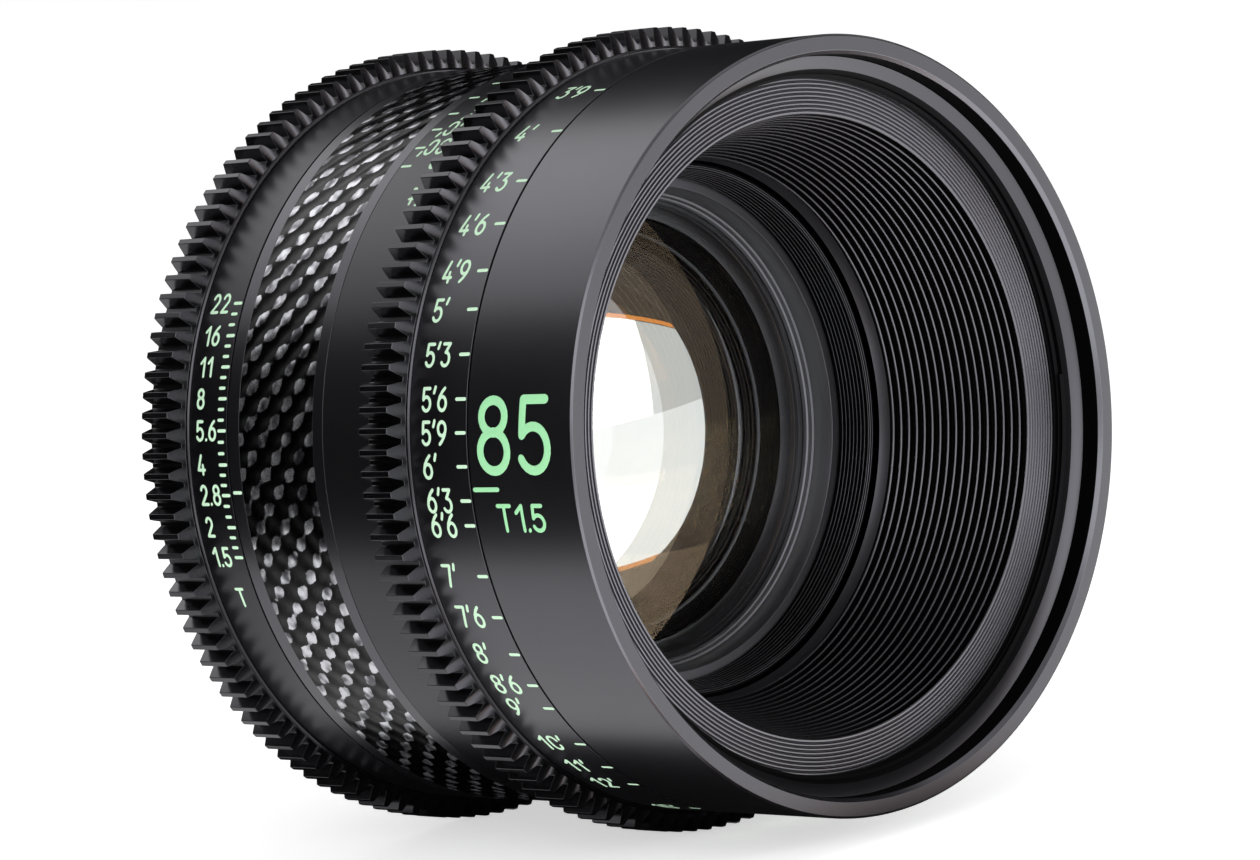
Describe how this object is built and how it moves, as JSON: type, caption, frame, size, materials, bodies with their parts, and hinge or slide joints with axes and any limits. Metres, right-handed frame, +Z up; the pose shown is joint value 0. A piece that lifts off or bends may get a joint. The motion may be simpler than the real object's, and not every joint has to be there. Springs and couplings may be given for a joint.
{
  "type": "cinema prime lens",
  "caption": "Cinema prime lens with geared focus and iris rings, stepped front hood, carbon sleeve, working iris and a four-tab bayonet mount.",
  "frame": {"origin": "centre of the camera flange's seat, on the optical axis, where the locating spigot leaves the flange", "axes": "+Y along the optical axis towards the camera, so the front glass looks along -Y; +Z up when the lens is on a camera; the focus and iris indexes face -X and +X"},
  "size_m": [0.1008, 0.0965, 0.1008],
  "materials": {
    "black_anodised": "satin black anodised",
    "baffle_black": "matte black anodised, finely stepped",
    "carbon_fibre": "clear-coated carbon-fibre plain weave",
    "glass": "multi-coated optical glass",
    "stainless": "turned stainless steel",
    "roller_steel": "ground steel",
    "blade_black": "blackened spring steel"
  },
  "bodies": {
    "barrel": {"front_barrel": "black_anodised", "filter_ring": "baffle_black", "hood_baffle": "baffle_black", "core_barrel": "black_anodised", "sleeve_end_ring": "black_anodised", "carbon_sleeve": "carbon_fibre", "index_ring": "black_anodised", "iris_housing": "black_anodised", "iris_rear_plate": "black_anodised", "iris_retainer": "black_anodised", "rear_cell": "black_anodised", "rear_housing": "black_anodised", "mount_shim": "stainless", "mount_flange": "stainless", "mount_spigot": "stainless", "element_4": "glass", "element_5": "glass", "element_6": "glass", "element_7": "glass"},
    "focus_ring": {"focus_scale_ring": "black_anodised", "focus_gear": "black_anodised", "focus_rear_sleeve": "black_anodised", "focus_cam_tube": "black_anodised"},
    "focus_group": {"focus_carriage": "black_anodised", "front_cell": "baffle_black", "front_retaining_ring": "black_anodised", "element_spacer": "black_anodised", "element_1": "glass", "element_2": "glass", "element_3": "glass", "focus_roller_1": "roller_steel", "focus_roller_2": "roller_steel", "focus_roller_3": "roller_steel"},
    "iris_ring": {"iris_carrier": "black_anodised", "iris_scale_ring": "black_anodised", "iris_gear": "black_anodised", "iris_cam_ring": "black_anodised", "iris_drive_pin": "roller_steel"},
    "blade_1": {"iris_blade_1": "blade_black"},
    "blade_2": {"iris_blade_2": "blade_black"},
    "blade_3": {"iris_blade_3": "blade_black"},
    "blade_4": {"iris_blade_4": "blade_black"},
    "blade_5": {"iris_blade_5": "blade_black"},
    "blade_6": {"iris_blade_6": "blade_black"},
    "blade_7": {"iris_blade_7": "blade_black"},
    "blade_8": {"iris_blade_8": "blade_black"},
    "blade_9": {"iris_blade_9": "blade_black"},
    "blade_10": {"iris_blade_10": "blade_black"},
    "blade_11": {"iris_blade_11": "blade_black"}
  },
  "joints": [
    {"name": "focus_turn", "type": "hinge", "parent": "barrel", "child": "focus_ring", "pos_m": [0, -0.058, 0], "axis": [0, 1, 0], "range_deg": [-72, 128]},
    {"name": "focus_slide", "type": "slide", "parent": "barrel", "child": "focus_group", "axis": [0, 1, 0], "range_m": [-0.00277, 0.00493]},
    {"name": "iris_turn", "type": "hinge", "parent": "barrel", "child": "iris_ring", "pos_m": [0, -0.019, 0], "axis": [0, 1, 0], "range_deg": [-30, 10]},
    {"name": "blade_1_turn", "type": "hinge", "parent": "barrel", "child": "blade_1", "pos_m": [-0.031, -0.0271, 0], "axis": [0, 1, 0], "range_deg": [-27, 9]},
    {"name": "blade_2_turn", "type": "hinge", "parent": "barrel", "child": "blade_2", "pos_m": [-0.02608, -0.02685, 0.01676], "axis": [0, 1, 0], "range_deg": [-27, 9]},
    {"name": "blade_3_turn", "type": "hinge", "parent": "barrel", "child": "blade_3", "pos_m": [-0.01288, -0.0266, 0.0282], "axis": [0, 1, 0], "range_deg": [-27, 9]},
    {"name": "blade_4_turn", "type": "hinge", "parent": "barrel", "child": "blade_4", "pos_m": [0.00441, -0.02635, 0.03068], "axis": [0, 1, 0], "range_deg": [-27, 9]},
    {"name": "blade_5_turn", "type": "hinge", "parent": "barrel", "child": "blade_5", "pos_m": [0.0203, -0.0261, 0.02343], "axis": [0, 1, 0], "range_deg": [-27, 9]},
    {"name": "blade_6_turn", "type": "hinge", "parent": "barrel", "child": "blade_6", "pos_m": [0.02974, -0.02585, 0.00873], "axis": [0, 1, 0], "range_deg": [-27, 9]},
    {"name": "blade_7_turn", "type": "hinge", "parent": "barrel", "child": "blade_7", "pos_m": [0.02974, -0.0256, -0.00873], "axis": [0, 1, 0], "range_deg": [-27, 9]},
    {"name": "blade_8_turn", "type": "hinge", "parent": "barrel", "child": "blade_8", "pos_m": [0.0203, -0.02535, -0.02343], "axis": [0, 1, 0], "range_deg": [-27, 9]},
    {"name": "blade_9_turn", "type": "hinge", "parent": "barrel", "child": "blade_9", "pos_m": [0.00441, -0.0251, -0.03068], "axis": [0, 1, 0], "range_deg": [-27, 9]},
    {"name": "blade_10_turn", "type": "hinge", "parent": "barrel", "child": "blade_10", "pos_m": [-0.01288, -0.02485, -0.0282], "axis": [0, 1, 0], "range_deg": [-27, 9]},
    {"name": "blade_11_turn", "type": "hinge", "parent": "barrel", "child": "blade_11", "pos_m": [-0.02608, -0.0246, -0.01676], "axis": [0, 1, 0], "range_deg": [-27, 9]}
  ],
  "couplings": [
    {"joint": "focus_slide", "follows": "focus_turn", "m_per_rad": 0.0022059},
    {"joint": "blade_1_turn", "follows": "iris_turn", "ratio": 0.9},
    {"joint": "blade_2_turn", "follows": "iris_turn", "ratio": 0.9},
    {"joint": "blade_3_turn", "follows": "iris_turn", "ratio": 0.9},
    {"joint": "blade_4_turn", "follows": "iris_turn", "ratio": 0.9},
    {"joint": "blade_5_turn", "follows": "iris_turn", "ratio": 0.9},
    {"joint": "blade_6_turn", "follows": "iris_turn", "ratio": 0.9},
    {"joint": "blade_7_turn", "follows": "iris_turn", "ratio": 0.9},
    {"joint": "blade_8_turn", "follows": "iris_turn", "ratio": 0.9},
    {"joint": "blade_9_turn", "follows": "iris_turn", "ratio": 0.9},
    {"joint": "blade_10_turn", "follows": "iris_turn", "ratio": 0.9},
    {"joint": "blade_11_turn", "follows": "iris_turn", "ratio": 0.9}
  ]
}
